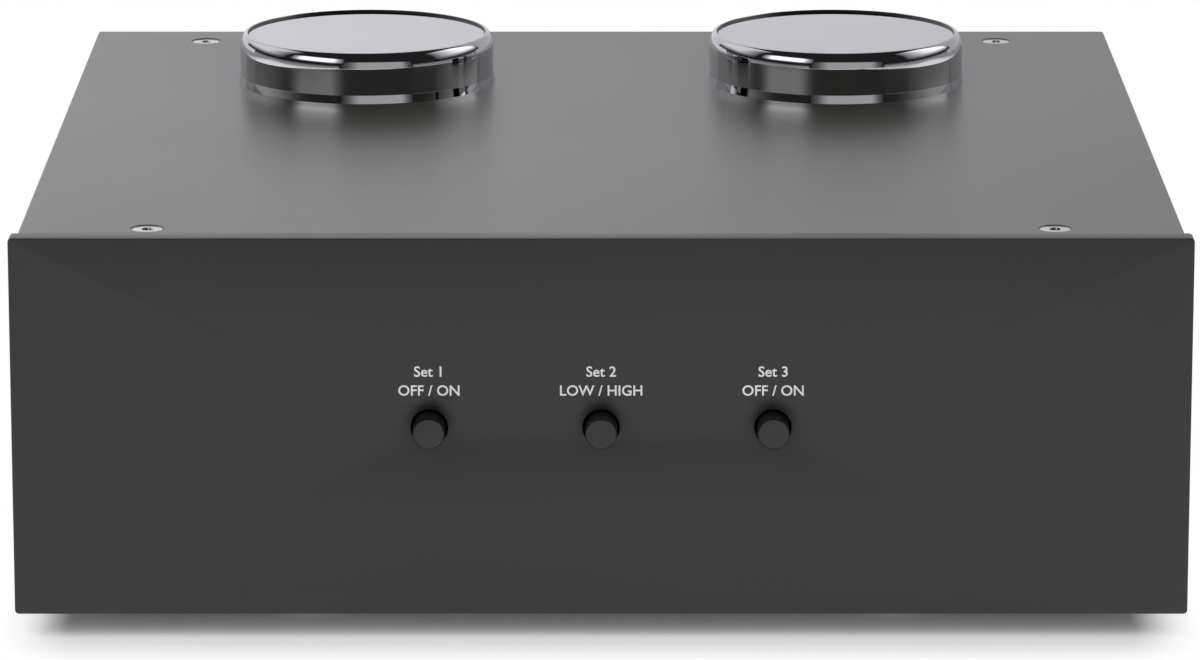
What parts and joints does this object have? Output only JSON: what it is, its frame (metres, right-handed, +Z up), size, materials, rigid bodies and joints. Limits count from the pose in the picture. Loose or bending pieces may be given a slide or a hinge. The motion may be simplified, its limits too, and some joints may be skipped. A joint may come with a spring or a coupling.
{
  "type": "moving coil step-up box",
  "caption": "Low audio case with push buttons on a thick front panel, round polished transformer caps on its lid and balanced, phono and ground sockets at the rear.",
  "frame": {"origin": "middle of the box's outline at the level of the feet", "axes": "+Z up, +X to the right seen from the front, the front panel faces -Y and the sockets +Y"},
  "size_m": [0.206, 0.2186, 0.0813],
  "materials": {
    "panel_anodised": "black anodised, brushed along its width",
    "lid_anodised": "black anodised, fine satin",
    "chassis_steel": "black powder coat",
    "rear_steel": "black powder coat",
    "screw_steel": "bright stainless",
    "cap_chrome": "polished chrome plate",
    "foot_rubber": "moulded, matt",
    "button_black": "black anodised, turned",
    "switch_plastic": "moulded",
    "spring_steel": "drawn wire",
    "board": "green solder mask",
    "shield_metal": "annealed nickel iron, matt",
    "core_metal": "wound strip",
    "copper": "enamelled copper wire",
    "lead_sleeve": "plastic sleeve",
    "ribbon": "flat cable",
    "black_plastic": "moulded",
    "nickel": "satin nickel plate",
    "gold": "gold plate",
    "ring_white": "moulded",
    "ring_red": "moulded",
    "white_plastic": "moulded"
  },
  "bodies": {
    "case": {"front_panel": "panel_anodised", "top_cover": "lid_anodised", "chassis": "chassis_steel", "rear_panel": "rear_steel", "cover_screws": "screw_steel", "press_nuts": "screw_steel", "panel_screws": "screw_steel", "rear_panel_screws": "screw_steel", "feet": "foot_rubber", "foot_screws": "screw_steel", "foot_nuts": "screw_steel", "spring_input": "spring_steel", "spring_gain": "spring_steel", "spring_output": "spring_steel", "switch_housings": "switch_plastic", "switch_board": "board", "board_pillars": "screw_steel", "board_screws": "screw_steel", "cap_left": "cap_chrome", "cap_right": "cap_chrome", "cap_ring_nuts": "screw_steel", "shield_can_left": "shield_metal", "shield_can_right": "shield_metal", "cores": "core_metal", "primary_windings": "copper", "secondary_windings": "copper", "core_pads": "foot_rubber", "clamp_washers": "screw_steel", "clamp_bolts": "screw_steel", "clamp_nuts": "screw_steel", "transformer_leads": "lead_sleeve", "lead_grommets": "foot_rubber", "socket_board": "board", "ribbon_headers": "black_plastic", "ribbon_cable": "ribbon", "balanced_input_shells": "nickel", "balanced_input_inserts": "black_plastic", "balanced_input_contacts": "gold", "balanced_output_shells": "nickel", "balanced_output_inserts": "black_plastic", "balanced_output_pins": "gold", "socket_screws": "screw_steel", "phono_bodies": "gold", "phono_rings_white": "ring_white", "phono_rings_red": "ring_red", "phono_washers": "black_plastic", "phono_cores": "white_plastic", "phono_contacts": "gold", "phono_nuts": "screw_steel", "ground_stud": "gold"},
    "input_button": {"button_input": "button_black", "plunger_input": "switch_plastic"},
    "gain_button": {"button_gain": "button_black", "plunger_gain": "switch_plastic"},
    "output_button": {"button_output": "button_black", "plunger_output": "switch_plastic"},
    "left_latch": {"latch_left": "nickel"},
    "right_latch": {"latch_right": "nickel"},
    "ground_washer": {"ground_washer": "gold"},
    "ground_nut": {"ground_thumb_nut": "gold"}
  },
  "joints": [
    {"name": "input_press", "type": "slide", "parent": "case", "child": "input_button", "axis": [0, 1, 0], "range_m": [0, 0.003], "stiffness_N_per_m": 300, "springref_m": -0.003, "deforming": ["spring_input"]},
    {"name": "gain_press", "type": "slide", "parent": "case", "child": "gain_button", "axis": [0, 1, 0], "range_m": [0, 0.003], "stiffness_N_per_m": 300, "springref_m": -0.003, "deforming": ["spring_gain"]},
    {"name": "output_press", "type": "slide", "parent": "case", "child": "output_button", "axis": [0, 1, 0], "range_m": [0, 0.003], "stiffness_N_per_m": 300, "springref_m": -0.003, "deforming": ["spring_output"]},
    {"name": "left_latch_press", "type": "slide", "parent": "case", "child": "left_latch", "axis": [0, -1, 0], "range_m": [0, 0.0015], "stiffness_N_per_m": 600, "springref_m": -0.0015},
    {"name": "right_latch_press", "type": "slide", "parent": "case", "child": "right_latch", "axis": [0, -1, 0], "range_m": [0, 0.0015], "stiffness_N_per_m": 600, "springref_m": -0.0015},
    {"name": "ground_washer_lift", "type": "slide", "parent": "case", "child": "ground_washer", "axis": [0, 1, 0], "range_m": [0, 0.00212]},
    {"name": "ground_nut_turn", "type": "hinge", "parent": "ground_washer", "child": "ground_nut", "pos_m": [0, 0.1, 0.03735], "axis": [0, 1, 0], "range_deg": [0, 1080]}
  ],
  "couplings": [
    {"joint": "ground_washer_lift", "follows": "ground_nut_turn", "m_per_rad": 0.00011141}
  ]
}
